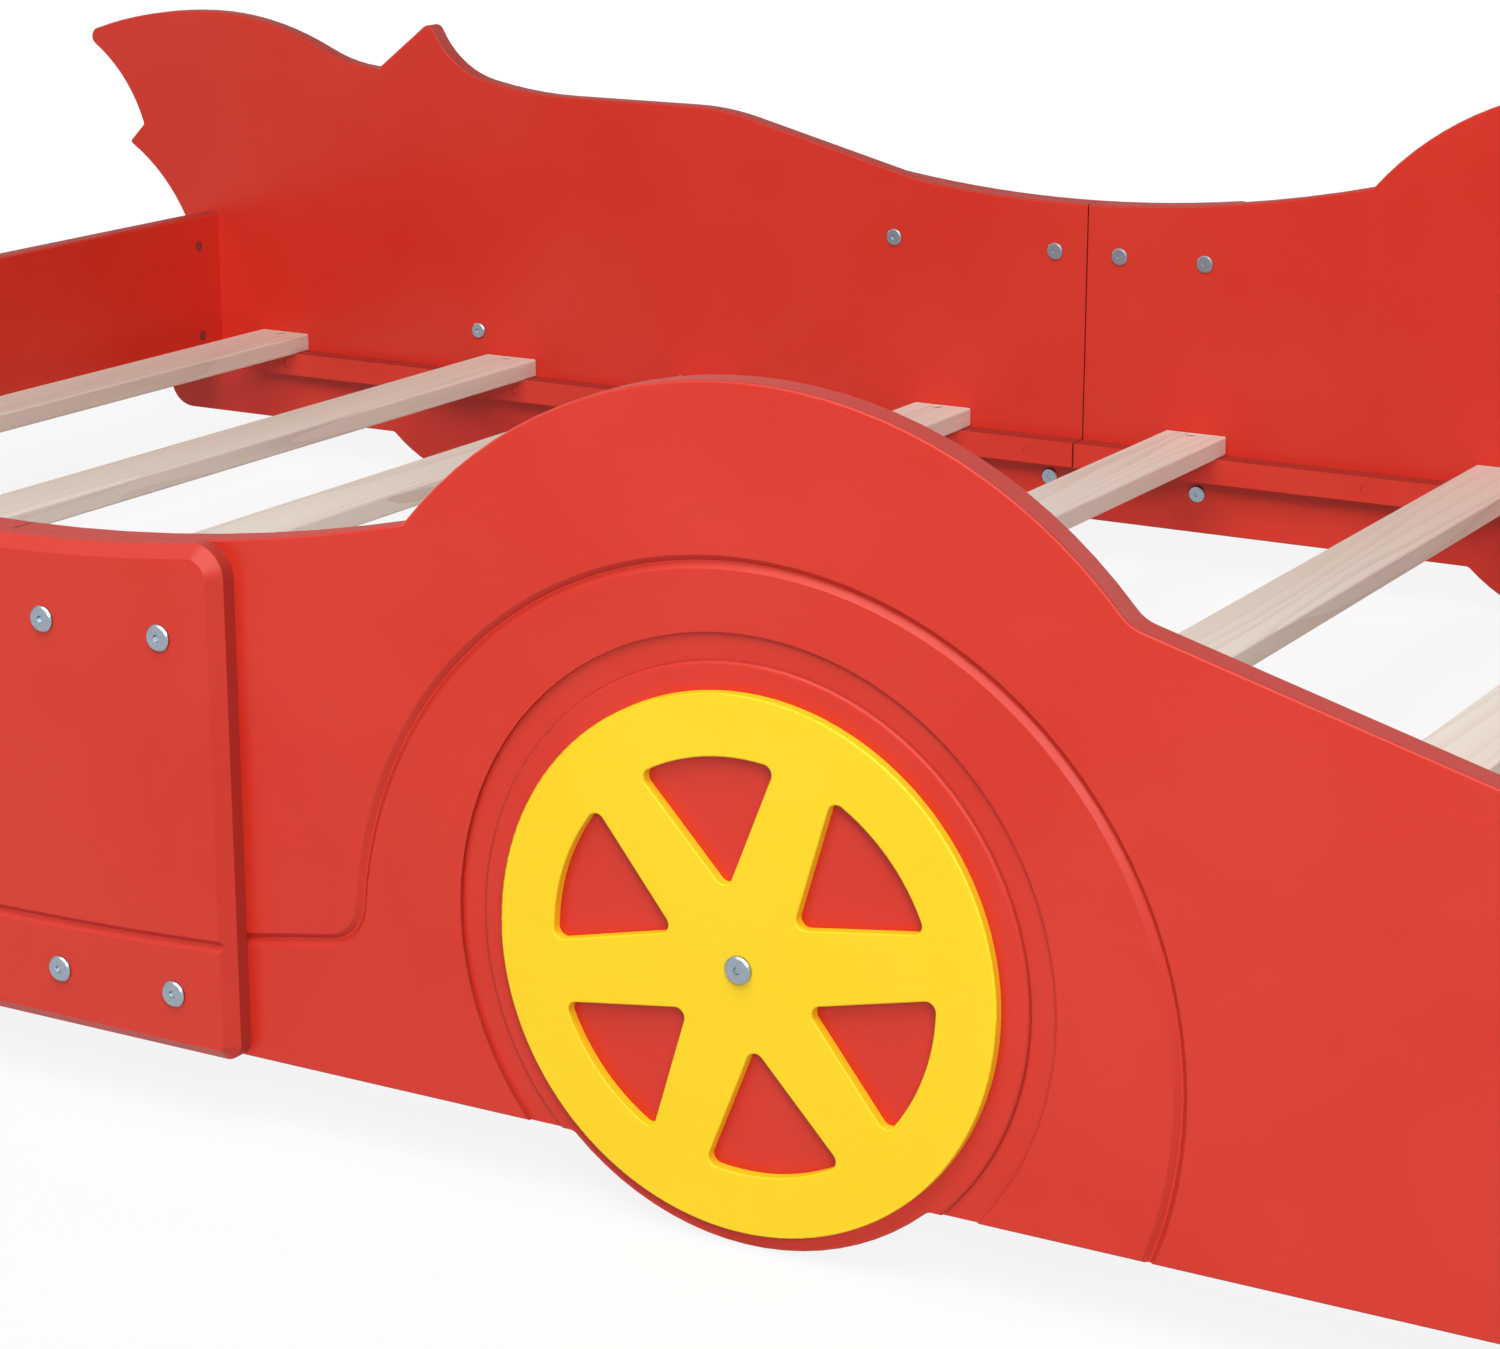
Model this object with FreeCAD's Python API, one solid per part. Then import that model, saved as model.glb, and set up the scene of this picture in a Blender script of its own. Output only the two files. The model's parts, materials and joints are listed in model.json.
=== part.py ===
"""A racing-car bed for a child, with painted board sides, a slatted base and four turning wheel discs.

Millimetres. +X points to the nose, +Y to the left side, +Z up. The origin is on the floor, midway between
nose and tail and between the two sides. Each side is two board halves that butt at a seam under a bolted
door plate. The sides stand on tyre-shaped lobes in their lower edge, and carry the two end boards and the
slat rails. A yellow disc turns on a sleeve at each lobe's centre.

Outlines are drawn in the XZ plane and extruded outwards for the left side. The right side is its mirror.
"""
import FreeCAD, Part
import math
import os

# ---------------------------------------------------------------- bed bay
inner_width = 1390.0            # between the two sides: a 1372 wide mattress with some play
inner_length = 1930.0           # between the two end boards: a 1905 long mattress with some play
front_board_ahead = 510.0       # front hub to the front board's inner face

# ---------------------------------------------------------------- side halves
panel_thickness = 18.0
tyre_radius = 152.0             # lobe that stands on the floor, so also the height of the hubs
floor_gap = 41.0                # floor to the lower edge of the sides
wheelbase = 1107.0
seam_behind_hub = 463.7         # front hub to the joint between the two halves
seam_gap = 1.2
edge_round = 1.6                # softened edge of the painted boards
cutter_round = 3.0              # tightest corner of the sawn outline
lobe_round = 6.0                # corner between a lobe and the lower edge

# top line over the door: one long arc with its lowest point near the seam
dip_radius = 1179.0
dip_height = 322.0
dip_behind_hub = 480.0

# front wing and nose
wing_radius = 267.6
wing_rise = 29.4                # hub to the centre of the wing's arc
valley_round = 20.0             # corner between wing and bonnet
bonnet_slope = 0.28
nose_reach = 590.0              # front hub to the tip of the nose
nose_length = 90.0              # bonnet's end to the tip
bonnet_end_height = 272.0
nose_tip_height = 172.0
chin_back = 54.0                # tip to where the chin meets the lower edge
chin_round = 10.0
chin_fall = 59.0                # handles of the curve below the tip: how far down from the tip,
chin_turn = 19.0                # how far back from it,
chin_rise = 29.0                # and how far above the lower edge

# fin, notch, peak, haunch and shoulder: each ahead of or behind the rear hub, and its drop from the fin's top
fin_top_height = 443.0
fin_top_behind = 315.0
fin_radius = 328.0              # front of the fin's back
notch_behind = 112.0
notch_drop = 45.0
notch_hollow = 158.0            # radius of the hollow behind the notch
peak_behind = 53.0
peak_drop = 1.0
peak_round = 8.0
peak_hollow = 87.0              # radius of the hollow in front of the peak
haunch_ahead = 107.0
haunch_drop = 60.0
haunch_radius = 450.0
shoulder_ahead = 272.0
shoulder_run = 205.0            # the shoulder's slope down to the long arc
shoulder_round = 260.0
tail_reach = 465.0              # rear hub to the tip of the fin

# rear edge: each point ahead of the tail's tip, and its drop from the one before
tip_drop = 32.0
tip_round = 9.0
tip_hollow = 148.0              # radius of the hollow under the tip
step_ahead = 62.0
step_drop = 84.5
spike_ahead = 43.0
spike_drop = 19.0
spike_hollow = 178.0
bumper_top_ahead = 111.0
bumper_top_drop = 72.5
bumper_ahead = 82.0
bumper_radius = 960.0
bumper_round = 26.0

# ---------------------------------------------------------------- routed lines
groove_width = 7.0
groove_floor = 1.0              # width of its floor
groove_depth = 2.5
groove_radius = 237.0           # line round a wheel
groove_drop = 30.0              # hub to the centre of that line
groove_corner = 25.0
groove_knee = 253.0             # hub to the corner where the line turns to the door
groove_knee_drop = 32.0
door_line_height = 103.0        # lowest point of the line across the door plate
door_line_radius = 3040.0
door_line_margin = 6.0          # plate edge to the line's end
ring_outer = 172.0              # sunk ring that draws the tyre
ring_inner = 155.0
ring_depth = 2.5

# ---------------------------------------------------------------- door plates
plate_thickness = 16.0
plate_bevel = 7.0
plate_top_corner = 18.0
plate_bottom_corner = 10.0
bolt_edge_distance = 39.4       # plate's end to its outer bolt column
front_column = 111.2            # seam to the bolt columns
seam_column = 31.0
rear_column = 190.6
upper_row = 278.5               # floor to the bolt rows
lower_row = 76.0

# ---------------------------------------------------------------- wheels
disc_radius = 142.6
disc_thickness = 6.0
disc_round = 1.0
spoke_count = 6
spoke_width = 40.0              # where the spokes part, near the hub
spoke_rim_width = 33.5          # where they join the rim
window_radius = 110.0           # outer arc of the cut-outs
window_corner = 5.0
window_turn = 40.8              # direction of one cut-out, in degrees above the +X axis
running_gap = 0.3               # side play of a disc
bore_clearance = 0.05

# ---------------------------------------------------------------- end boards
board_thickness = 18.0
board_height = 150.0
board_top = 243.5
board_round = 2.0
board_bolt_spacing = 90.0
barrel_inset = 32.0             # board's end to the cross nuts

# ---------------------------------------------------------------- slatted base
slat_top = 130.0
slat_thickness = 17.0
slat_width = 57.0
slat_round = 2.0
slat_play = 1.0                 # slat's end to the side
slat_shifts = (0.0, 20.0, -13.0, -14.0, -17.0, 15.0, 0.0, 0.0)     # laid by hand, off their even pitch
rail_thickness = 20.0
rail_height = 22.0
rail_reach = 905.0              # seam to each rail's far end
rail_gap = 1.5                  # between the two rails under the seam
rear_rail_screws = 4
rail_screw_margin = 44.0
front_rail_screws = 4
front_rail_pitch = 229.0

# ---------------------------------------------------------------- fasteners
head_radius = 7.5               # the bolts and the sleeve nuts have the same flat head
head_height = 2.2
head_bevel = 0.9
socket_flats = 4.0
socket_depth = 1.4
bolt_radius = 3.0
sleeve_radius = 4.5
sleeve_reach = 8.0              # how far a door sleeve enters the plate
thread_engagement = 14.0
hole_clearance = 0.15
barrel_radius = 5.0
barrel_length = 14.0
screw_radius = 2.0
screw_head_radius = 4.5
screw_head_depth = 2.6
screw_sink = 0.6                # a screw's head lies this far below the wood's face
rail_screw_length = 32.0
slat_screw_length = 30.0
overshoot = 1.0                 # a cutter passes this far beyond the face that it opens

# ---------------------------------------------------------------- places worked out from the sizes above
overall_length = nose_reach + wheelbase + tail_reach
front_hub = overall_length / 2 - nose_reach
rear_hub = front_hub - wheelbase
tail_tip = rear_hub - tail_reach
nose_tip = front_hub + nose_reach
seam = front_hub - seam_behind_hub
dip_low = front_hub - dip_behind_hub
inner_face = inner_width / 2
outer_face = inner_face + panel_thickness
plate_face = outer_face + plate_thickness
plate_front = seam + front_column + bolt_edge_distance
plate_rear = seam - rear_column - bolt_edge_distance
bolt_columns = (seam + front_column, seam + seam_column, seam - seam_column, seam - rear_column)
front_board_face = front_hub + front_board_ahead
rear_board_face = front_board_face - inner_length
front_board_middle = front_board_face + board_thickness / 2
rear_board_middle = rear_board_face - board_thickness / 2
board_middle = board_top - board_height / 2
rail_top = slat_top - slat_thickness
rail_middle = rail_top - rail_height / 2
rail_centre = inner_face - rail_thickness / 2
front_rail = (seam + rail_gap / 2, seam + rail_reach)
rear_rail = (seam - rail_reach, seam - rail_gap / 2)
disc_back = outer_face + running_gap
disc_front = disc_back + disc_thickness
wheel_head_seat = disc_front + running_gap


# ---------------------------------------------------------------- drawing
def point(x, z):
    return FreeCAD.Vector(x, 0, z)


class Outline:
    """A closed outline in the XZ plane, drawn edge by edge from its start."""

    def __init__(self, start):
        self.start = start
        self.end = start
        self.edges = []

    def line(self, end):
        self.edges.append(Part.makeLine(point(*self.end), point(*end)))
        self.end = end
        return self

    def around(self, centre, end):
        """The shorter arc about a centre."""
        radius = math.dist(centre, end)
        x = self.end[0] + end[0] - 2 * centre[0]
        z = self.end[1] + end[1] - 2 * centre[1]
        share = radius / math.hypot(x, z)
        middle = (centre[0] + x * share, centre[1] + z * share)
        self.edges.append(Part.Arc(point(*self.end), point(*middle), point(*end)).toShape())
        self.end = end
        return self

    def bend(self, radius, end):
        """An arc of a given radius that turns left on its way to end, or right where radius is negative."""
        return self.around(circles_cross(end, abs(radius), self.end, abs(radius), radius < 0), end)

    def curve(self, leave, arrive, end):
        """A cubic curve that leaves towards one handle and arrives from the other."""
        bezier = Part.BezierCurve()
        bezier.setPoles([point(*p) for p in (self.end, leave, arrive, end)])
        self.edges.append(bezier.toShape())
        self.end = end
        return self

    def extrude(self, y_low, y_high):
        """Closes the outline with a line and fills it between two distances from the middle plane."""
        if math.dist(self.start, self.end) > 1e-6:
            self.line(self.start)
        face = Part.Face(Part.Wire(self.edges))
        face.translate(FreeCAD.Vector(0, y_low, 0))
        return face.extrude(FreeCAD.Vector(0, y_high - y_low, 0))


def on_circle(centre, radius, degrees):
    turn = math.radians(degrees)
    return (centre[0] + radius * math.cos(turn), centre[1] + radius * math.sin(turn))


def circles_cross(first, first_radius, second, second_radius, left=False):
    """The crossing of two circles on the right or left of the way from the first centre to the second."""
    dx, dz = second[0] - first[0], second[1] - first[1]
    apart = math.hypot(dx, dz)
    along = (first_radius**2 - second_radius**2 + apart**2) / (2 * apart)
    aside = math.sqrt(first_radius**2 - along**2)
    if left:
        aside = -aside
    return (
        first[0] + (along * dx + aside * dz) / apart,
        first[1] + (along * dz - aside * dx) / apart,
    )


def towards(start, target, distance):
    """The point at a distance from start on the line through target."""
    share = distance / math.dist(start, target)
    return (start[0] + (target[0] - start[0]) * share, start[1] + (target[1] - start[1]) * share)


def line_meets_circle(start, slope, centre, radius):
    """The first point of a circle on a line that runs back towards -X from start and rises by slope."""
    length = math.hypot(1, slope)
    way = (-1 / length, slope / length)
    along = (start[0] - centre[0]) * way[0] + (start[1] - centre[1]) * way[1]
    run = -along - math.sqrt(along**2 - math.dist(start, centre) ** 2 + radius**2)
    return (start[0] + run * way[0], start[1] + run * way[1])


def circle_below(centre, radius, x):
    """Height of the bottom of a circle at x."""
    return centre[1] - math.sqrt(radius**2 - (x - centre[0]) ** 2)


def rounded(solid, radius, corners):
    """Rounds the cross-wise edges of an extruded outline that stand at the given (x, z) corners."""
    edges = [
        edge
        for edge in solid.Edges
        if any(
            all(math.hypot(v.X - x, v.Z - z) < 1e-3 for v in edge.Vertexes)
            for x, z in corners
        )
    ]
    return solid.makeFillet(radius, edges)


def rim(solid, face):
    """The edges that lie in the plane at a distance from the middle plane."""
    return [
        edge
        for edge in solid.Edges
        if abs(edge.CenterOfMass.y - face) < 1e-6 and all(abs(v.Y - face) < 1e-6 for v in edge.Vertexes)
    ]


def cylinder(radius, start, direction, length):
    return Part.makeCylinder(radius, length, FreeCAD.Vector(*start), FreeCAD.Vector(*direction))


def hole(radius, mouth, direction, depth, clearance=hole_clearance):
    """The cutter for a hole that clears a pin of the given radius, from its mouth to a depth."""
    start = [m - d * overshoot for m, d in zip(mouth, direction)]
    return cylinder(radius + clearance, start, direction, depth + overshoot)


def box(low, high):
    size = [b - a for a, b in zip(low, high)]
    return Part.makeBox(*size, FreeCAD.Vector(*low))


def mirrored(shape):
    """The same shape on the right side."""
    return shape.mirror(FreeCAD.Vector(0, 0, 0), FreeCAD.Vector(0, 1, 0))


OUTWARDS = (0, 1, 0)
INWARDS = (0, -1, 0)
DOWN = (0, 0, -1)


# ---------------------------------------------------------------- routed lines in the outer faces
def routed(edges, face):
    """Cutters for a line along touching edges in the XZ plane, with slanted walls and a narrow floor."""
    slant = (groove_width - groove_floor) / 2 / groove_depth
    top = groove_width / 2 + overshoot * slant
    cutters = []
    for edge in edges:
        start = edge.valueAt(edge.FirstParameter)
        way = edge.tangentAt(edge.FirstParameter)
        across = way.cross(FreeCAD.Vector(0, 1, 0))
        high = start + FreeCAD.Vector(0, face + overshoot, 0)
        low = start + FreeCAD.Vector(0, face - groove_depth, 0)
        corners = [high - across * top, low - across * groove_floor / 2, low + across * groove_floor / 2,
                   high + across * top]
        section = Part.Face(Part.makePolygon(corners + corners[:1]))
        if isinstance(edge.Curve, Part.Circle):
            turn = math.degrees(edge.LastParameter - edge.FirstParameter)
            cutters.append(section.revolve(edge.Curve.Center, edge.Curve.Axis, turn))
        else:
            cutters.append(section.extrude(way * edge.Length))
    return cutters


def wheel_line(hub, door_edge):
    """The line that comes up from the lower edge, passes over the wheel and runs to the door plate."""
    side = math.copysign(1, door_edge - hub)

    def place(spot):
        return (hub + side * spot[0], spot[1])

    # worked out as distances from the hub towards the door, and heights
    centre = (0, tyre_radius - groove_drop)
    low = floor_gap - groove_width
    foot = (-math.sqrt(groove_radius**2 - (centre[1] - low) ** 2), low)
    top = (0, centre[1] + groove_radius)
    end = (abs(door_edge - hub) + door_line_margin, door_line_at(door_edge))
    slope = (tyre_radius - groove_knee_drop - end[1]) / (end[0] - groove_knee)

    # the corner's circle stands on the run to the door and touches the big circle from outside
    length = math.hypot(1, slope)
    lift = (groove_corner * slope / length, groove_corner / length)
    lifted_end = (end[0] + lift[0], end[1] + lift[1])
    corner = line_meets_circle(lifted_end, slope, centre, groove_radius + groove_corner)
    touch_run = (corner[0] - lift[0], corner[1] - lift[1])
    path = Outline(place(foot)).around(place(centre), place(top))
    path.around(place(centre), place(towards(centre, corner, groove_radius)))
    path.around(place(corner), place(touch_run)).line(place(end))
    return path.edges


def door_line_at(x):
    """Height of the shallow arc across the door plate."""
    middle = (plate_front + plate_rear) / 2
    return circle_below((middle, door_line_height + door_line_radius), door_line_radius, x)


def tyre_ring(hub):
    """Cutter for the sunk ring round a wheel: a sharp outer wall and a rounded inner shoulder."""
    floor = outer_face - ring_depth
    slant = math.sqrt(0.5) * ring_depth
    wall_top = FreeCAD.Vector(ring_outer, outer_face + overshoot, 0)
    wall_foot = FreeCAD.Vector(ring_outer, floor, 0)
    shoulder_foot = FreeCAD.Vector(ring_inner + ring_depth, floor, 0)
    shoulder_middle = FreeCAD.Vector(ring_inner + slant, floor + slant, 0)
    shoulder_top = FreeCAD.Vector(ring_inner, outer_face, 0)
    above = FreeCAD.Vector(ring_inner, outer_face + overshoot, 0)
    profile = [
        Part.makeLine(wall_top, wall_foot),
        Part.makeLine(wall_foot, shoulder_foot),
        Part.Arc(shoulder_foot, shoulder_middle, shoulder_top).toShape(),
        Part.makeLine(shoulder_top, above),
        Part.makeLine(above, wall_top),
    ]
    ring = Part.Face(Part.Wire(profile)).revolve(FreeCAD.Vector(0, 0, 0), FreeCAD.Vector(0, 1, 0), 360)
    ring.translate(FreeCAD.Vector(hub, 0, tyre_radius))
    return ring


# ---------------------------------------------------------------- side halves
def lobe(outline, hub):
    """The tyre's lower arc, drawn nose to tail along the lower edge. Gives the corners it makes."""
    half = math.sqrt(tyre_radius**2 - (tyre_radius - floor_gap) ** 2)
    centre = (hub, tyre_radius)
    corners = [(hub + half, floor_gap), (hub - half, floor_gap)]
    outline.line(corners[0]).around(centre, (hub, 0)).around(centre, corners[1])
    return corners


def dip_centre():
    return (dip_low, dip_height + dip_radius)


def dip_at(x):
    """The point of the door's long arc at x."""
    return (x, circle_below(dip_centre(), dip_radius, x))


def front_half():
    joint = seam + seam_gap / 2
    wing = (front_hub, tyre_radius + wing_rise)
    kink = circles_cross(dip_centre(), dip_radius, wing, wing_radius)
    bonnet_end = (nose_tip - nose_length, bonnet_end_height)
    valley = line_meets_circle(bonnet_end, bonnet_slope, wing, wing_radius)
    tip = (nose_tip, nose_tip_height)
    chin = (nose_tip - chin_back, floor_gap)

    outline = Outline((joint, floor_gap)).line(dip_at(joint)).around(dip_centre(), kink)
    outline.around(wing, valley).line(bonnet_end)
    outline.curve(
        (bonnet_end[0] + nose_length / 2, bonnet_end[1] - bonnet_slope * nose_length / 2),
        (tip[0], (tip[1] + bonnet_end[1]) / 2),
        tip,
    )
    outline.curve((tip[0], tip[1] - chin_fall), (tip[0] - chin_turn, chin[1] + chin_rise), chin)
    lobe_corners = lobe(outline, front_hub)
    solid = outline.extrude(inner_face, outer_face)
    solid = rounded(solid, cutter_round, [kink])
    solid = rounded(solid, valley_round, [valley])
    solid = rounded(solid, chin_round, [chin])
    solid = rounded(solid, lobe_round, lobe_corners)
    solid = softened(solid, joint)
    return finished_half(
        solid, front_hub, plate_front, bolt_columns[:2], front_board_middle, front_rail_places()
    )


def rear_half():
    joint = seam - seam_gap / 2
    fin_top = (rear_hub - fin_top_behind, fin_top_height)
    tip = (tail_tip + tip_round, fin_top_height - tip_drop)
    step = (tail_tip + step_ahead, tip[1] - step_drop)
    spike = (tail_tip + spike_ahead, step[1] - spike_drop)
    bumper_top = (tail_tip + bumper_top_ahead, spike[1] - bumper_top_drop)
    bumper = (tail_tip + bumper_ahead, floor_gap)
    notch = (rear_hub - notch_behind, fin_top_height - notch_drop)
    haunch = (rear_hub + haunch_ahead, fin_top_height - haunch_drop)
    shoulder = (rear_hub + shoulder_ahead, haunch[1])
    shoulder_foot = dip_at(shoulder[0] + shoulder_run)

    # circles of the tail: each touches the next, so the outline runs smoothly from one to the other
    under_tip = circles_cross(tip, tip_hollow + tip_round, step, tip_hollow)
    back_radius = (math.dist(fin_top, tip) ** 2 - tip_round**2) / (2 * (tip_drop - tip_round))
    fin_back = (fin_top[0], fin_top[1] - back_radius)
    fin_front = (fin_top[0], fin_top[1] - fin_radius)
    behind_notch = circles_cross(fin_front, fin_radius + notch_hollow, notch, notch_hollow, left=True)
    peak = (rear_hub - peak_behind, fin_top_height - peak_drop - peak_round)
    above_haunch = (haunch[0], haunch[1] + haunch_radius)
    under_peak = circles_cross(
        above_haunch, haunch_radius - peak_hollow, peak, peak_hollow + peak_round, left=True
    )
    tangent_length = math.sqrt(math.dist(notch, peak) ** 2 - peak_round**2)
    peak_back = circles_cross(notch, tangent_length, peak, peak_round, left=True)

    # drawn from the seam's foot to the tail along the lower edge, then back over the top
    outline = Outline((joint, floor_gap))
    lobe_corners = lobe(outline, rear_hub)
    outline.line(bumper).bend(-bumper_radius, bumper_top).bend(spike_hollow, spike).line(step)
    outline.around(under_tip, towards(under_tip, tip, tip_hollow))
    outline.around(tip, towards(fin_back, tip, back_radius)).around(fin_back, fin_top)
    outline.around(fin_front, towards(fin_front, behind_notch, fin_radius)).around(behind_notch, notch)
    outline.line(peak_back).around(peak, towards(under_peak, peak, peak_hollow))
    outline.around(under_peak, towards(above_haunch, under_peak, haunch_radius)).around(above_haunch, haunch)
    outline.line(shoulder).line(shoulder_foot).around(dip_centre(), dip_at(joint))
    solid = outline.extrude(inner_face, outer_face)
    solid = rounded(solid, shoulder_round, [shoulder, shoulder_foot])
    solid = rounded(solid, cutter_round, [notch, step, spike, bumper_top])
    solid = rounded(solid, bumper_round, [bumper])
    solid = rounded(solid, lobe_round, lobe_corners)
    solid = softened(solid, joint)
    return finished_half(
        solid, rear_hub, plate_rear, bolt_columns[2:], rear_board_middle, rear_rail_places()
    )


def softened(half, joint):
    """Rounds the rims of a half's two faces, but leaves them sharp along the seam."""
    edges = rim(half, inner_face) + rim(half, outer_face)
    return half.makeFillet(edge_round, [edge for edge in edges if abs(edge.CenterOfMass.x - joint) > 1e-3])


def finished_half(solid, hub, door_edge, columns, board_centre, rail_places):
    """Routs the tyre ring and the line into a half, and drills it for every fastener it takes."""
    cuts = [tyre_ring(hub)] + routed(wheel_line(hub, door_edge), outer_face)
    cuts.append(through_panel(sleeve_radius, hub, tyre_radius))
    cuts += [through_panel(sleeve_radius, x, z) for x in columns for z in (upper_row, lower_row)]
    cuts += [through_panel(bolt_radius, board_centre, z) for z in board_rows()]
    depth = rail_screw_length + screw_sink - rail_thickness + hole_clearance
    cuts += [hole(screw_radius, (x, inner_face, rail_middle), OUTWARDS, depth) for x in rail_places]
    return solid.cut(cuts)


def through_panel(radius, x, z):
    return hole(radius, (x, inner_face, z), OUTWARDS, panel_thickness + overshoot)


# ---------------------------------------------------------------- places of the fasteners
def board_rows():
    return (board_middle + board_bolt_spacing / 2, board_middle - board_bolt_spacing / 2)


def rear_rail_places():
    first = rear_rail[0] + rail_screw_margin
    pitch = (rail_reach - 2 * rail_screw_margin) / (rear_rail_screws - 1)
    return [first + pitch * i for i in range(rear_rail_screws)]


def front_rail_places():
    first = seam + rail_screw_margin
    return [first + front_rail_pitch * i for i in range(front_rail_screws)]


def slat_places():
    first = rear_rail[0] + slat_width / 2
    last = front_rail[1] - slat_width / 2
    pitch = (last - first) / (len(slat_shifts) - 1)
    return [first + pitch * i + shift for i, shift in enumerate(slat_shifts)]


# ---------------------------------------------------------------- door plates
def door_plate():
    top_rear, top_front = dip_at(plate_rear), dip_at(plate_front)
    foot_rear, foot_front = (plate_rear, floor_gap), (plate_front, floor_gap)
    outline = Outline(foot_rear).line(top_rear).around(dip_centre(), top_front).line(foot_front)
    plate = outline.extrude(outer_face, plate_face)
    plate = rounded(plate, plate_top_corner, [top_rear, top_front])
    plate = rounded(plate, plate_bottom_corner, [foot_rear, foot_front])
    plate = plate.makeChamfer(plate_bevel, rim(plate, plate_face))

    low, high = plate_rear - groove_width, plate_front + groove_width
    middle = (plate_rear + plate_front) / 2
    line_centre = (middle, door_line_height + door_line_radius)
    line = Outline((low, door_line_at(low))).around(line_centre, (high, door_line_at(high)))
    cuts = routed(line.edges, plate_face)
    for x in bolt_columns:
        for z in (upper_row, lower_row):
            cuts.append(hole(sleeve_radius, (x, outer_face, z), OUTWARDS, plate_thickness + overshoot))
    return plate.cut(cuts)


# ---------------------------------------------------------------- wheels
def wheel(hub):
    """A disc with windows between its spokes, free to turn on its sleeve."""
    centre = (hub, tyre_radius)
    disc = cylinder(disc_radius, (hub, disc_back, tyre_radius), OUTWARDS, disc_thickness)
    step = 360 / spoke_count
    # a spoke's edge meets the window's outer arc this far round from the spoke's middle
    lean = math.degrees(math.asin(spoke_rim_width / 2 / window_radius))
    apex_radius = spoke_width / 2 / math.sin(math.radians(step / 2))
    windows = []
    for i in range(spoke_count):
        turn = window_turn + step * i
        corners = [
            on_circle(centre, apex_radius, turn),
            on_circle(centre, window_radius, turn - step / 2 + lean),
            on_circle(centre, window_radius, turn + step / 2 - lean),
        ]
        outline = Outline(corners[0]).line(corners[1]).around(centre, corners[2])
        window = outline.extrude(disc_back - overshoot, disc_front + overshoot)
        windows.append(rounded(window, window_corner, corners))
    disc = disc.cut(windows)
    disc = disc.makeFillet(disc_round, rim(disc, disc_front))
    return disc.cut(hole(sleeve_radius, (hub, disc_back, tyre_radius), OUTWARDS, disc_thickness + overshoot,
                         bore_clearance))


# ---------------------------------------------------------------- fasteners
def hexagon(flats, start, direction, length):
    """A six-sided prism along Y."""
    x, y, z = start
    corner = flats / math.sqrt(3)
    turns = [math.radians(60 * i) for i in range(7)]
    ring = [FreeCAD.Vector(x + corner * math.cos(t), y, z + corner * math.sin(t)) for t in turns]
    return Part.Face(Part.makePolygon(ring)).extrude(FreeCAD.Vector(*direction) * length)


def flat_head(x, seat, z, way):
    """A flat round head that rests on the face at seat, with a bevelled rim and a six-sided socket."""
    front = seat + way[1] * head_height
    head = cylinder(head_radius, (x, seat, z), way, head_height)
    head = head.makeChamfer(head_bevel, rim(head, front))
    back = [-step for step in way]
    return head.cut(hexagon(socket_flats, (x, front, z), back, socket_depth))


def bolt(x, seat, z, length):
    """A bolt whose head rests on the outer face at seat, with its shank towards the bay."""
    return flat_head(x, seat, z, OUTWARDS).fuse(cylinder(bolt_radius, (x, seat, z), INWARDS, length))


def sleeve_nut(x, z, reach):
    """A nut whose head rests on the side's inner face and whose sleeve reaches outwards."""
    sleeve = cylinder(sleeve_radius, (x, inner_face, z), OUTWARDS, reach)
    thread = cylinder(bolt_radius, (x, inner_face, z), OUTWARDS, reach)
    return flat_head(x, inner_face, z, INWARDS).fuse(sleeve).cut(thread)


def cross_nut(x, y, z, face):
    """A barrel nut in an end board, flush with the board's inner face."""
    barrel = cylinder(barrel_radius, (face, y, z), (math.copysign(1, face), 0, 0), barrel_length)
    half_thread = barrel_radius + overshoot
    return barrel.cut(cylinder(bolt_radius, (x, y - half_thread, z), OUTWARDS, 2 * half_thread))


def along(start, direction, distance):
    return [s + d * distance for s, d in zip(start, direction)]


def screw(start, direction, length):
    """A countersunk screw driven in at start until its head lies screw_sink below the face."""
    top = FreeCAD.Vector(*along(start, direction, screw_sink))
    way = FreeCAD.Vector(*direction)
    head = Part.makeCone(screw_head_radius, screw_radius, screw_head_depth, top, way)
    return head.fuse(Part.makeCylinder(screw_radius, length, top, way))


def screw_hole(start, direction, depth):
    """The countersunk hole that takes such a screw."""
    clear = hole_clearance
    top = FreeCAD.Vector(*along(start, direction, screw_sink))
    way = FreeCAD.Vector(*direction)
    cone = Part.makeCone(screw_head_radius + clear, screw_radius + clear, screw_head_depth + clear, top, way)
    mouth = hole(screw_head_radius, start, direction, screw_sink)
    return mouth.fuse(cone).fuse(hole(screw_radius, start, direction, depth))


def door_bolts():
    length = plate_thickness - sleeve_reach + thread_engagement
    return [bolt(x, plate_face, z, length) for x in bolt_columns for z in (upper_row, lower_row)]


def door_sleeve_nuts():
    reach = panel_thickness + sleeve_reach
    return [sleeve_nut(x, z, reach) for x in bolt_columns for z in (upper_row, lower_row)]


def wheel_bolt(hub):
    return bolt(hub, wheel_head_seat, tyre_radius, thread_engagement)


def wheel_sleeve_nut(hub):
    return sleeve_nut(hub, tyre_radius, wheel_head_seat - inner_face)


def board_bolts(board_centre):
    length = panel_thickness + barrel_inset + barrel_radius
    right_and_left = []
    for z in board_rows():
        made = bolt(board_centre, outer_face, z, length)
        right_and_left += [made, mirrored(made)]
    return right_and_left


def board_cross_nuts(face, board_centre):
    right_and_left = []
    for z in board_rows():
        made = cross_nut(board_centre, inner_face - barrel_inset, z, face)
        right_and_left += [made, mirrored(made)]
    return right_and_left


def rail_screws(places):
    face = inner_face - rail_thickness
    return [screw((x, face, rail_middle), OUTWARDS, rail_screw_length) for x in places]


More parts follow.
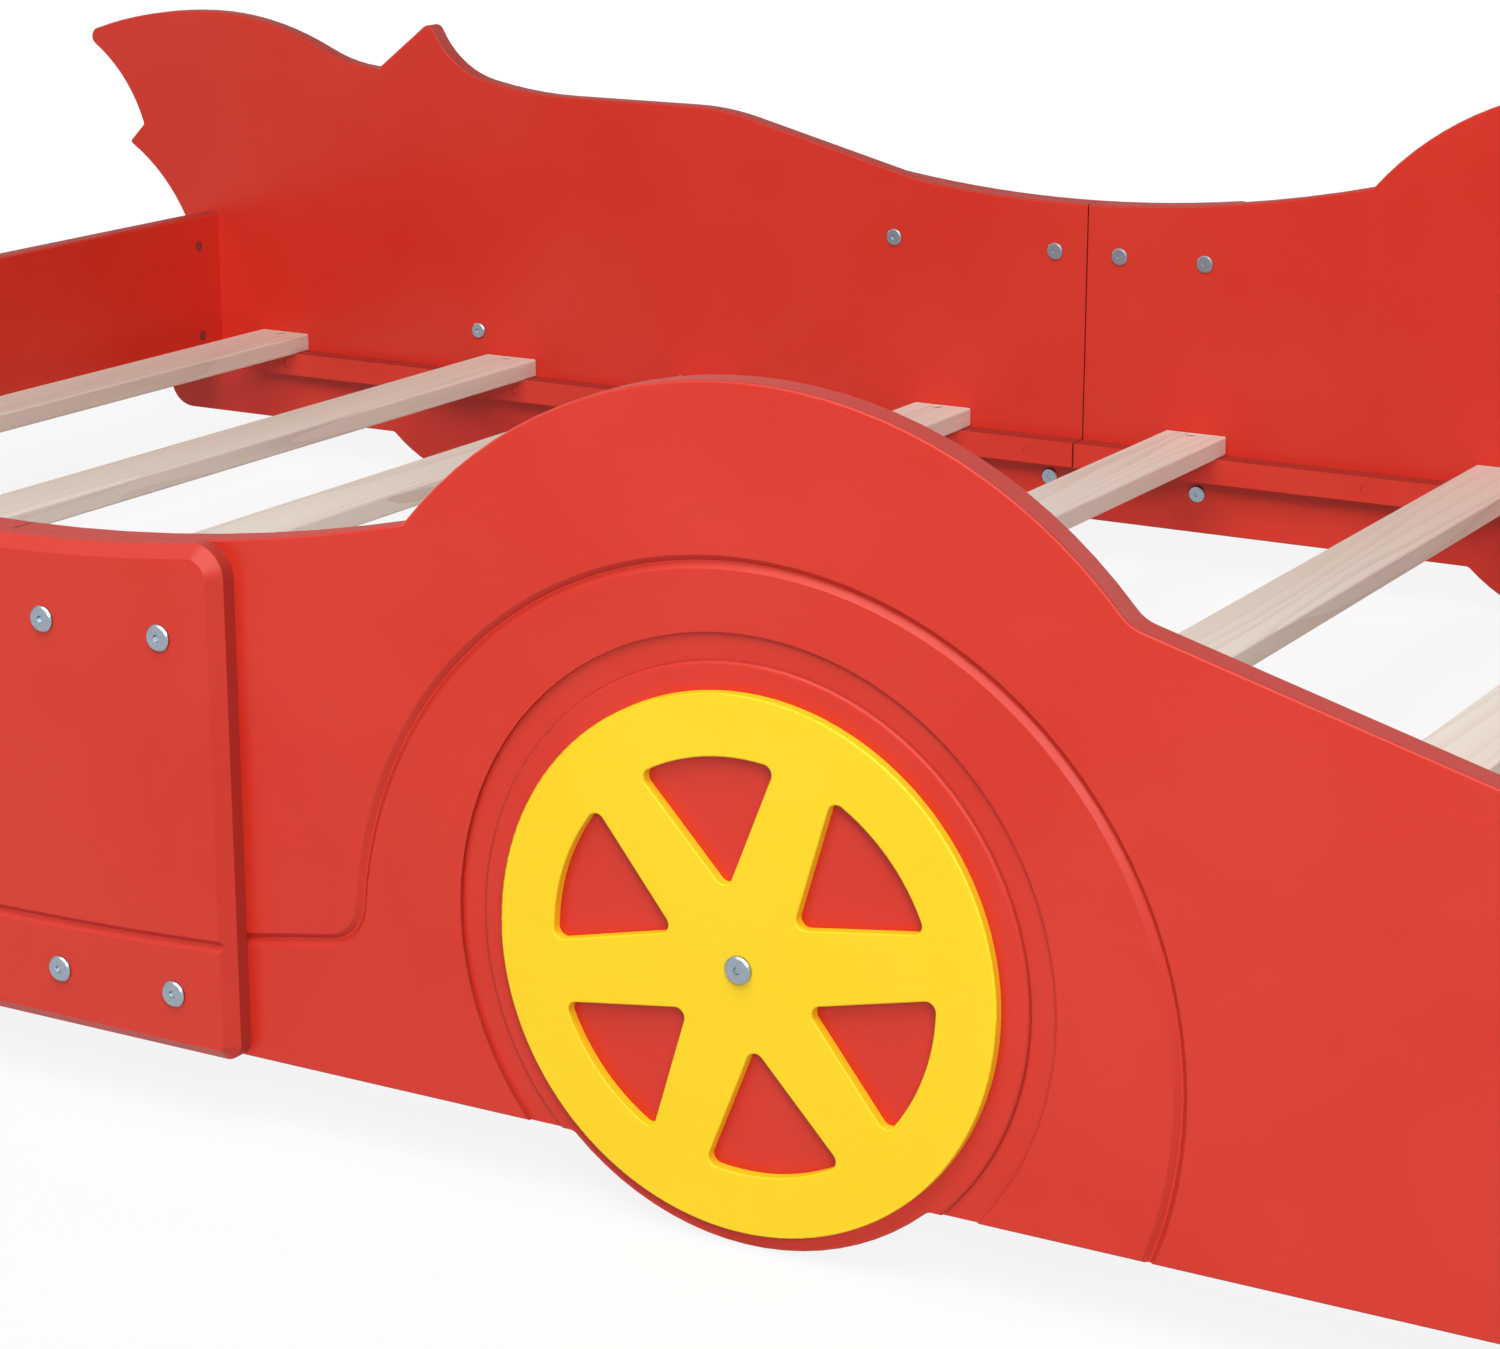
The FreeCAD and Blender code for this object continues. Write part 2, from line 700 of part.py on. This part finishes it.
def slat_screws():
    return [screw((x, rail_centre, slat_top), DOWN, slat_screw_length) for x in slat_places()]


# ---------------------------------------------------------------- end boards
def end_board(face, board_centre):
    """A board between the sides, bored in its ends for the bolts and in its inner face for the cross nuts."""
    way = math.copysign(1, face)
    low, high = sorted((face, face + way * board_thickness))
    board = box((low, -inner_face, board_top - board_height), (high, inner_face, board_top))
    top_edges = [e for e in board.Edges if abs(e.CenterOfMass.z - board_top) < 1e-6 and e.Length > inner_face]
    board = board.makeFillet(board_round, top_edges)
    cuts = []
    for z in board_rows():
        depth = barrel_inset + barrel_radius + overshoot
        bolt_hole = hole(bolt_radius, (board_centre, inner_face, z), INWARDS, depth)
        nut_hole = hole(barrel_radius, (face, inner_face - barrel_inset, z), (way, 0, 0),
                        barrel_length + hole_clearance)
        cuts += [bolt_hole, mirrored(bolt_hole), nut_hole, mirrored(nut_hole)]
    return board.cut(cuts)


# ---------------------------------------------------------------- slatted base
def rail(ends, screw_places):
    low, high = ends
    body = box((low, inner_face - rail_thickness, rail_top - rail_height), (high, inner_face, rail_top))
    cuts = []
    for x in screw_places:
        start = (x, inner_face - rail_thickness, rail_middle)
        cuts.append(screw_hole(start, OUTWARDS, rail_thickness + overshoot))
    for x in slat_places():
        if low < x < high:
            depth = slat_screw_length + screw_sink - slat_thickness + hole_clearance
            cuts.append(hole(screw_radius, (x, rail_centre, rail_top), DOWN, depth))
    return body.cut(cuts)


def slat(x):
    half_length = inner_face - slat_play
    low = (x - slat_width / 2, -half_length, rail_top)
    body = box(low, (x + slat_width / 2, half_length, slat_top))
    body = body.makeFillet(slat_round, [e for e in body.Edges if e.Length > half_length])
    left_hole = screw_hole((x, rail_centre, slat_top), DOWN, slat_thickness + overshoot)
    return body.cut([left_hole, mirrored(left_hole)])


# ---------------------------------------------------------------- all the pieces
def group(solids):
    return Part.makeCompound(solids)


def all_parts():
    parts = {}
    halves = {"front": front_half(), "rear": rear_half()}
    hubs = {"front": front_hub, "rear": rear_hub}
    rails = {"front": (front_rail, front_rail_places()), "rear": (rear_rail, rear_rail_places())}
    both_sides = {
        "door_plate_SIDE": door_plate(),
        "door_bolts_SIDE": group(door_bolts()),
        "door_sleeve_nuts_SIDE": group(door_sleeve_nuts()),
        "slat_screws_SIDE": group(slat_screws()),
    }
    for end in ("front", "rear"):
        ends, places = rails[end]
        both_sides[f"side_panel_SIDE_{end}"] = halves[end]
        both_sides[f"slat_rail_SIDE_{end}"] = rail(ends, places)
        both_sides[f"rail_screws_SIDE_{end}"] = group(rail_screws(places))
        both_sides[f"wheel_SIDE_{end}"] = wheel(hubs[end])
    for name, shape in both_sides.items():
        parts[name.replace("SIDE", "left")] = shape
        parts[name.replace("SIDE", "right")] = mirrored(shape)

    bolts = [wheel_bolt(hub) for hub in hubs.values()]
    nuts = [wheel_sleeve_nut(hub) for hub in hubs.values()]
    parts["wheel_bolts"] = group(bolts + [mirrored(b) for b in bolts])
    parts["wheel_sleeve_nuts"] = group(nuts + [mirrored(n) for n in nuts])

    boards = {"front": (front_board_face, front_board_middle), "rear": (rear_board_face, rear_board_middle)}
    for end, place in boards.items():
        parts[f"{end}_board"] = end_board(*place)
        parts[f"{end}_board_bolts"] = group(board_bolts(place[1]))
        parts[f"{end}_board_cross_nuts"] = group(board_cross_nuts(*place))
    for i, x in enumerate(slat_places(), 1):
        parts[f"slat_{i}"] = slat(x)
    return parts


os.makedirs("parts", exist_ok=True)
for node, shape in all_parts().items():
    shape.exportStep(f"parts/{node}.step")
    print(node, len(shape.Solids), "solid(s),", "valid" if shape.isValid() else "NOT VALID")
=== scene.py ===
# %% [markdown]
# # Dressing a car bed for children
#
# The bed is flat-pack furniture: routed fibreboard sprayed red and yellow, bare pine slats, and zinc plated
# bolts. Every board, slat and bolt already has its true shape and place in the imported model, so this lesson
# doesn't rebuild them. It gives each piece the surface of the real one, and then sets up the light, the floor
# and the camera. All lengths are in metres, in the model's own frame: +X to the nose, +Y to the left, +Z up.

import json
import math

import bpy
from mathutils import Matrix, Vector

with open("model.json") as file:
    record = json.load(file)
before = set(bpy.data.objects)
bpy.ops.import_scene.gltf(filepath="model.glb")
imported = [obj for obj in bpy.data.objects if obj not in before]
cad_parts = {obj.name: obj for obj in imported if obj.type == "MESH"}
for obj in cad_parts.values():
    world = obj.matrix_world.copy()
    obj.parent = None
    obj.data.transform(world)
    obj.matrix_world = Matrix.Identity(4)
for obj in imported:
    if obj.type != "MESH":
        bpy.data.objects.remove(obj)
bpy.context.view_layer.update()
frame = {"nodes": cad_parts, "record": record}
nodes = frame["nodes"]

# %% [markdown]
# ## Soft corners
#
# The boards' edges are real round-overs, but a mesh is made of flat triangles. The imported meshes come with
# their own normals, which make the rounded strips look round and leave the flat faces flat. To shade them all
# smooth would spoil that, so nothing is changed here, and this cell only reports what there is.

# %% Look at how the meshes are shaded
for name in ("side_panel_right_front", "wheel_right_front", "door_bolts_right"):
    mesh = nodes[name].data
    smooth = sum(face.use_smooth for face in mesh.polygons)
    print(name, len(mesh.polygons), "faces,", smooth, "smooth, own normals:", mesh.has_custom_normals)

# %% [markdown]
# ## Small helpers for materials
#
# Colours are written as the hex values that a paint chart or a colour picker shows, and those are sRGB. The
# shader wants linear light, so one function turns them over. A second function adds a node, sets its values
# and links its inputs in one line, which keeps a node tree readable from top to bottom. A third starts a
# material.

# %% Helpers: a colour, a node, a material
MM = 0.001


def linear(hex_colour):
    """An sRGB hex colour as linear red, green, blue and alpha."""
    parts = [int(hex_colour[i:i + 2], 16) / 255 for i in (1, 3, 5)]
    return [c / 12.92 if c <= 0.04045 else ((c + 0.055) / 1.055) ** 2.4 for c in parts] + [1.0]


def add(tree, kind, values=None, links=None, **settings):
    """A node of one kind, with its settings, its sockets' values and its links from other nodes' sockets."""
    node = tree.nodes.new("ShaderNode" + kind)
    for name, value in settings.items():
        setattr(node, name, value)
    for name, value in (values or {}).items():
        node.inputs[name].default_value = value
    for name, source in (links or {}).items():
        tree.links.new(source, node.inputs[name])
    return node


def new_material(name):
    """An empty material: its node tree, and its shader already on the output."""
    material = bpy.data.materials.new(name)
    material.use_nodes = True
    tree = material.node_tree
    tree.nodes.clear()
    shader = add(tree, "BsdfPrincipled")
    add(tree, "OutputMaterial", links={"Surface": shader.outputs["BSDF"]})
    return material, tree, shader


print("middle grey #808080 is", round(linear("#808080")[0], 3), "in linear light")

# %% [markdown]
# ## Sprayed fibreboard
#
# The sides, doors, end boards, rails and wheels are MDF with a satin polyurethane lacquer. Three things tell
# the eye that it is sprayed board and not plastic. The lacquer has a very slight orange peel, a ripple of
# about 2 mm. Its colour drifts a little over a hand's width, because the coat is never equally thick. And the
# routed edges drink more paint than the faces, so they dry duller and a little darker. The edge colour is
# also
# painted shade: it is darker than a duller coat alone would make it.
#
# The lacquer reflects a few hundredths of the white room on top of its own colour, and that alone lifts green
# and blue to a fifth of full brightness. So the pigment itself is written deeper and purer than the red and
# yellow that the eye sees.
#
# Which way a surface faces tells edge from face. The boards stand in the lengthwise plane, so the size of the
# normal's sideways part is 1 on a face and 0 on a cut edge. On the end boards its lengthwise part says that.

# %% Material: satin lacquer on MDF
# The third colour of each, for cut edges, is darker partly as a duller coat and partly as painted shade.
RED_COAT = ("#D4301F", "#D83828", "#A42C22")        # on a face, where the coat is thin, on a cut edge
YELLOW_COAT = ("#FED712", "#FFDB20", "#F0C414")
LACQUER_IOR = 1.5
SATIN_SPECULAR = 0.35                               # 0.5 is a gloss coat's full reflection
COAT_DRIFT = 160 * MM
GLOSS_MOTTLE = 12 * MM
ORANGE_PEEL, PEEL_HEIGHT = 2.2 * MM, 0.05 * MM
EDGE_DULLNESS = 0.28                                # what a cut edge adds to the roughness


def lacquered_mdf(name, face_hex, thin_hex, edge_and_shade_hex, across="Y", satin=0.36):
    """Sprayed board: a face colour that drifts to a thinner coat's, and an edge colour where it was cut,
    darker partly as a duller coat and partly as painted shade.

    across is the axis that the faces look along, and satin is the faces' mean roughness, near enough."""
    material, tree, shader = new_material(name)
    place = add(tree, "TexCoord").outputs["Object"]
    geometry = add(tree, "NewGeometry")
    facing = add(tree, "SeparateXYZ", links={"Vector": geometry.outputs["Normal"]})
    facing = add(tree, "Math", links={0: facing.outputs[across]}, operation="ABSOLUTE")
    # Cut edges, told by the normal: they get the duller roughness and the edge colour, which is partly
    # painted shade.
    cut_edge_dull_and_shaded = add(tree, "MapRange", {"From Min": 0.95, "From Max": 0.3}, {"Value": facing.outputs[0]})
    coat = add(tree, "TexNoise", {"Scale": 1 / COAT_DRIFT, "Detail": 3.0, "Roughness": 0.55},
               {"Vector": place})
    coat_mix = add(tree, "MapRange", {"From Min": 0.35, "From Max": 0.7}, {"Value": coat.outputs["Fac"]})
    face = add(tree, "Mix", {"A": linear(face_hex), "B": linear(thin_hex)},
               {"Factor": coat_mix.outputs["Result"]}, data_type="RGBA")
    # On cut edges the colour turns to the edge colour: a duller coat, darkened further as painted shade.
    colour = add(tree, "Mix", {"B": linear(edge_and_shade_hex)},
                 {"Factor": cut_edge_dull_and_shaded.outputs["Result"], "A": face.outputs["Result"]}, data_type="RGBA")
    tree.links.new(colour.outputs["Result"], shader.inputs["Base Color"])

    mottle = add(tree, "TexNoise", {"Scale": 1 / GLOSS_MOTTLE, "Detail": 4.0}, {"Vector": place})
    face_rough = add(tree, "MapRange", {"To Min": satin - 0.04, "To Max": satin + 0.06},
                     {"Value": mottle.outputs["Fac"]})
    edge_rough = add(tree, "Math", {1: EDGE_DULLNESS}, {0: cut_edge_dull_and_shaded.outputs["Result"]}, operation="MULTIPLY")
    roughness = add(tree, "Math", links={0: face_rough.outputs["Result"], 1: edge_rough.outputs[0]},
                    operation="ADD")
    tree.links.new(roughness.outputs[0], shader.inputs["Roughness"])
    shader.inputs["IOR"].default_value = LACQUER_IOR
    shader.inputs["Specular IOR Level"].default_value = SATIN_SPECULAR

    peel = add(tree, "TexNoise", {"Scale": 1 / ORANGE_PEEL, "Detail": 1.0}, {"Vector": place})
    bump = add(tree, "Bump", {"Strength": 0.05, "Distance": PEEL_HEIGHT}, {"Height": peel.outputs["Fac"]})
    tree.links.new(bump.outputs["Normal"], shader.inputs["Normal"])
    return material


red_side = lacquered_mdf("satin_red_lacquer_on_mdf", *RED_COAT)
red_end = lacquered_mdf("satin_red_lacquer_on_mdf_end_board", *RED_COAT, across="X")
yellow = lacquered_mdf("satin_yellow_lacquer_on_mdf", *YELLOW_COAT, satin=0.34)
print("painted board materials:", red_side.name, red_end.name, yellow.name)

# %% [markdown]
# ## Planed pine slats
#
# The slats are thin planed boards of pale softwood, sanded and left bare. What shows is the grain: faint
# brown lines that run along the slat, wander, and sometimes close into a flame, with paler and darker
# stretches and fine pores. Grain comes from growth rings cut lengthwise. So the pattern here is a row of
# bands about 16 mm apart, each with one sharp side as late wood has, stretched twentyfold along the slat,
# bent by a slow noise, and faded in and out by another. Real pores are too fine to show, so they are drawn
# 1.6 mm apart.
#
# The red sides throw red light on the wood. Its own colour is therefore a paler, greyer cream than what
# shows.

# %% Material: bare softwood
EARLY_WOOD = ("#E7DFD3", "#DCCFC1")                 # pale and darker stretches
LATE_WOOD = "#B9A08A"
WOOD_IOR = 1.5
GRAIN_STRETCH, PORE_STRETCH = 0.05, 0.03            # scales that draw a pattern out 20 and 33 times
WANDER, WANDER_REACH = 45 * MM, 110 * MM            # the slow noise's size, and how far it pushes
WAVE_UNIT = 52 * MM                                 # the wave repeats 3.2 times in a unit: every 16 mm
GRAIN_FADE, HEART = 60 * MM, 110 * MM
PORE_PITCH, PORE_DEPTH = 1.6 * MM, 0.08 * MM


def planed_softwood(name):
    """Flat-sawn pine: soft early wood, darker late wood in wandering lines, and fine pores."""
    material, tree, shader = new_material(name)
    place = add(tree, "TexCoord").outputs["Object"]
    along = add(tree, "Mapping", {"Scale": (1.0, GRAIN_STRETCH, 1.0)}, {"Vector": place}).outputs["Vector"]
    wander = add(tree, "TexNoise", {"Scale": 1 / WANDER, "Detail": 2.0}, {"Vector": along})
    push = add(tree, "VectorMath", {"Scale": WANDER_REACH}, {0: wander.outputs["Color"]}, operation="SCALE")
    bent = add(tree, "VectorMath", links={0: along, 1: push.outputs["Vector"]}, operation="ADD")
    rings = add(tree, "TexWave", {"Scale": 1 / WAVE_UNIT, "Distortion": 1.2, "Detail": 2.0},
                {"Vector": bent.outputs["Vector"]},
                wave_type="BANDS", bands_direction="X", wave_profile="SAW")
    fades = add(tree, "TexNoise", {"Scale": 1 / GRAIN_FADE, "Detail": 1.0}, {"Vector": along})
    strength = add(tree, "MapRange", {"From Min": 0.35, "From Max": 0.7, "To Min": 0.1, "To Max": 0.45},
                   {"Value": fades.outputs["Fac"]})
    late_wood = add(tree, "MapRange", {"From Min": 0.5, "From Max": 1.0}, {"Value": rings.outputs["Fac"]})
    line = add(tree, "Math", links={0: late_wood.outputs["Result"], 1: strength.outputs["Result"]},
               operation="MULTIPLY")
    heart = add(tree, "TexNoise", {"Scale": 1 / HEART, "Detail": 3.0}, {"Vector": along})
    heart_mix = add(tree, "MapRange", {"From Min": 0.35, "From Max": 0.7}, {"Value": heart.outputs["Fac"]})
    pale, dark = EARLY_WOOD
    base = add(tree, "Mix", {"A": linear(pale), "B": linear(dark)},
               {"Factor": heart_mix.outputs["Result"]}, data_type="RGBA")
    colour = add(tree, "Mix", {"B": linear(LATE_WOOD)},
                 {"Factor": line.outputs[0], "A": base.outputs["Result"]}, data_type="RGBA")
    tree.links.new(colour.outputs["Result"], shader.inputs["Base Color"])

    pores = add(tree, "Mapping", {"Scale": (1.0, PORE_STRETCH, 1.0)}, {"Vector": place})
    pore_lines = add(tree, "TexNoise", {"Scale": 1 / PORE_PITCH, "Detail": 2.0},
                     {"Vector": pores.outputs["Vector"]})
    rough = add(tree, "MapRange", {"To Min": 0.55, "To Max": 0.75}, {"Value": pore_lines.outputs["Fac"]})
    tree.links.new(rough.outputs["Result"], shader.inputs["Roughness"])
    bump = add(tree, "Bump", {"Strength": 0.25, "Distance": PORE_DEPTH},
               {"Height": pore_lines.outputs["Fac"]})
    tree.links.new(bump.outputs["Normal"], shader.inputs["Normal"])
    shader.inputs["IOR"].default_value = WOOD_IOR
    return material


slat_wood = planed_softwood("planed_pine")
print("slat material:", slat_wood.name)

# %% [markdown]
# ## Zinc plated steel
#
# Furniture bolts and their sleeve nuts are turned steel with a bright zinc plate: a metal with a cool,
# faintly blue grey, neither a mirror nor matt. The plate is slightly cloudy, so its roughness drifts over a
# millimetre or two. The colour of a metal is the colour of its reflection.

# %% Material: zinc plate
ZINC_CLOUD = 1.5 * MM


def zinc_plate(name, bright_hex, cloudy_hex, smooth, cloudy):
    """Zinc plated steel: a colour and a roughness that both drift from bright to cloudy."""
    material, tree, shader = new_material(name)
    place = add(tree, "TexCoord").outputs["Object"]
    cloud = add(tree, "TexNoise", {"Scale": 1 / ZINC_CLOUD, "Detail": 3.0}, {"Vector": place})
    colour = add(tree, "Mix", {"A": linear(bright_hex), "B": linear(cloudy_hex)},
                 {"Factor": cloud.outputs["Fac"]}, data_type="RGBA")
    tree.links.new(colour.outputs["Result"], shader.inputs["Base Color"])
    rough = add(tree, "MapRange", {"To Min": smooth, "To Max": cloudy}, {"Value": cloud.outputs["Fac"]})
    tree.links.new(rough.outputs["Result"], shader.inputs["Roughness"])
    shader.inputs["Metallic"].default_value = 1.0
    return material


bolt_zinc = zinc_plate("bright_zinc_plated_steel", "#ABB7C2", "#8995A1", 0.24, 0.38)
screw_zinc = zinc_plate("zinc_plated_screw_steel", "#C9CBC8", "#A9ABA8", 0.28, 0.42)
print("steel materials:", bolt_zinc.name, screw_zinc.name)

# %% [markdown]
# ## Give each piece its finish
#
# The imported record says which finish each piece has, so the names of its slots lead from the piece to the
# material. The rail screws were driven before the spraying, so they wear the same red as the rail. The end
# boards stand crosswise, so they wear the red whose cut edges are told from the lengthwise direction.

# %% Assign the materials
END_BOARDS = ("front_board", "rear_board")
finishes = {
    "red_paint": red_side,
    "yellow_paint": yellow,
    "slat_wood": slat_wood,
    "zinc_steel": bolt_zinc,
    "screw_steel": screw_zinc,
    "painted_screw": red_side,
}
for subpart in frame["record"]["subparts"]:
    name, slot = subpart["node"], subpart["material_slot"]
    finish = red_end if name in END_BOARDS else finishes[slot]
    piece = nodes[name]
    piece.data.materials.clear()
    piece.data.materials.append(finish)

# %% [markdown]
# ## The studio floor
#
# The bed stands on a white floor in a white room. A floor that is white only by its lamps would need more
# light than the bed can take. So what the camera sees of it is mostly a plain white glow, and the rest is
# pale paint, lit like the bed, which carries its shadow. Away from the bed the glow takes over, so that no
# horizon shows. The glow isn't light that falls on the bed: only the lit paint fills its shadows. But a ray
# off metal or lacquer sees the same white as the camera.

# %% Floor
def seen_directly(tree):
    """1 for a ray from the camera, off a glossy surface or through glass, and 0 for all other light."""
    path = add(tree, "LightPath")
    seen = add(tree, "Math", links={0: path.outputs["Is Camera Ray"], 1: path.outputs["Is Glossy Ray"]},
               operation="MAXIMUM")
    seen = add(tree, "Math", links={0: seen.outputs[0], 1: path.outputs["Is Transmission Ray"]},
               operation="MAXIMUM")
    return seen.outputs[0]


def mix_shaders(tree, factor, plain, shown):
    """A mix of two shaders: the plain one at 0, the shown one at 1."""
    mix = tree.nodes.new("ShaderNodeMixShader")
    for socket, source in zip(mix.inputs, (factor, plain, shown)):
        tree.links.new(source, socket)
    return mix.outputs[0]


FLOOR_HALF = 30.0
FLOOR_DROP = 0.5 * MM                               # just clear of what stands on it
GLOW = 1.06                                         # a little over white, as the paint's share is darker
GLOW_SHARE = 0.82                                   # by the bed; the rest is lit paint, with the shadow
SHADOW_REACH, WHITE_BEYOND = 1.5, 3.5               # from the bed's middle
WHITE = (1, 1, 1, 1)

floor_mesh = bpy.data.meshes.new("floor")
corners = [(x * FLOOR_HALF, y * FLOOR_HALF, 0) for x, y in ((-1, -1), (1, -1), (1, 1), (-1, 1))]
floor_mesh.from_pydata(corners, [], [(0, 1, 2, 3)])
floor = bpy.data.objects.new("floor", floor_mesh)
bpy.context.scene.collection.objects.link(floor)
floor.location.z = -FLOOR_DROP
floor_paint, tree, shader = new_material("white_studio_floor")
shader.inputs["Base Color"].default_value = linear("#C4C4C4")
shader.inputs["Roughness"].default_value = 0.9
place = add(tree, "TexCoord").outputs["Object"]
distance = add(tree, "VectorMath", links={0: place}, operation="LENGTH")
glowing = add(tree, "MapRange", {"From Min": SHADOW_REACH, "From Max": WHITE_BEYOND, "To Min": GLOW_SHARE},
              {"Value": distance.outputs["Value"]})
share = add(tree, "Math", links={0: seen_directly(tree), 1: glowing.outputs["Result"]}, operation="MULTIPLY")
glow = add(tree, "Emission", {"Color": WHITE, "Strength": GLOW})
output = next(node for node in tree.nodes if node.type == "OUTPUT_MATERIAL")
floor_look = mix_shaders(tree, share.outputs[0], shader.outputs["BSDF"], glow.outputs[0])
tree.links.new(floor_look, output.inputs["Surface"])
floor_mesh.materials.append(floor_paint)
print("floor", 2 * FLOOR_HALF, "m wide, glow share", GLOW_SHARE, "by the bed")

# %% [markdown]
# ## The white room
#
# Past the floor, the camera looks into the world. There too it sees plain white, and so does a ray off metal
# or lacquer. What the world throws on the bed is far fainter, so that the lamps shape the boards.

# %% World
ROOM_LIGHT = 0.06

world = bpy.data.worlds.new("studio")
bpy.context.scene.world = world
world.use_nodes = True
tree = world.node_tree
tree.nodes.clear()
room = add(tree, "Background", {"Color": WHITE, "Strength": ROOM_LIGHT})
white = add(tree, "Background", {"Color": WHITE, "Strength": 1.0})
sky = mix_shaders(tree, seen_directly(tree), room.outputs[0], white.outputs[0])
add(tree, "OutputWorld", links={"Surface": sky})
print("room light", ROOM_LIGHT, "of the white that the camera sees")

# %% [markdown]
# ## Soft light
#
# The shadows in a picture tell where its lamps were. In the photograph each wheel window's upper edge throws
# a thin shadow, the bevel on the door plate's nose side is the brightest strip of red, and the bolt heads
# glint at their upper right. So the main softbox stands off the nose, to the right of the camera, and well
# above it. It is far away, because the far side is only a fifth darker than the near one. A second softbox
# overhead lifts the slats and the upper edges. Two more stand beyond the far side and behind the tail. They
# barely touch what the camera sees, but the bed has to look right from all round.

# %% Lamps
def softbox(name, place, target, size, power):
    """A rectangular softbox that faces its target; its size is width and height, its power is in watts."""
    lamp = bpy.data.lights.new(name, "AREA")
    lamp.shape = "RECTANGLE"
    lamp.size, lamp.size_y = size
    lamp.energy = power
    lamp_object = bpy.data.objects.new(name, lamp)
    bpy.context.scene.collection.objects.link(lamp_object)
    lamp_object.location = place
    aim = Vector(target) - Vector(place)
    lamp_object.rotation_euler = aim.to_track_quat("-Z", "Y").to_euler()


softbox("key_softbox", (4.94, -5.93, 4.2), (0.4, -0.5, 0.2), (2.4, 2.0), 276)
softbox("overhead_softbox", (0.5, -1.9, 3.0), (0.2, 0.0, 0.2), (2.8, 2.2), 98)
softbox("far_side_softbox", (2.0, 4.9, 1.8), (0.0, 0.6, 0.2), (2.6, 2.0), 85)
softbox("tail_softbox", (-4.9, 0.6, 1.7), (-1.0, 0.0, 0.2), (2.4, 1.8), 60)

# %% [markdown]
# ## The camera
#
# The photograph was solved for its viewpoint: where the camera stood, how it was turned, and its focal length
# in pixels on a picture 1500 pixels wide. The lens in millimetres follows from the 36 mm sensor. Yaw is the
# turn from +Y towards +X, and pitch is the tilt downwards.

# %% Camera
PICTURE_WIDTH = 1500
FOCAL_PIXELS = 3640.0
SENSOR_MM = 36.0
yaw, pitch, roll = (math.radians(a) for a in (-29.7975, 15.6971, 0.0613))
camera_place = Vector((1.34603, -2.20157, 0.7862))

right = Vector((math.cos(yaw), -math.sin(yaw), 0))
forward = Vector((math.sin(yaw) * math.cos(pitch), math.cos(yaw) * math.cos(pitch), -math.sin(pitch)))
up = right.cross(forward)
rolled_right = right * math.cos(roll) + up * math.sin(roll)
rolled_up = up * math.cos(roll) - right * math.sin(roll)
turn = Matrix((rolled_right, rolled_up, -forward)).transposed()

camera_data = bpy.data.cameras.new("camera")
camera_data.sensor_fit = "HORIZONTAL"
camera_data.sensor_width = SENSOR_MM
camera_data.lens = FOCAL_PIXELS * SENSOR_MM / PICTURE_WIDTH
camera = bpy.data.objects.new("camera", camera_data)
bpy.context.scene.collection.objects.link(camera)
camera.matrix_world = Matrix.Translation(camera_place) @ turn.to_4x4()
bpy.context.scene.camera = camera
bpy.context.scene.view_settings.view_transform = "Standard"
print("lens", round(camera_data.lens, 2), "mm, camera at", [round(v, 3) for v in camera_place])
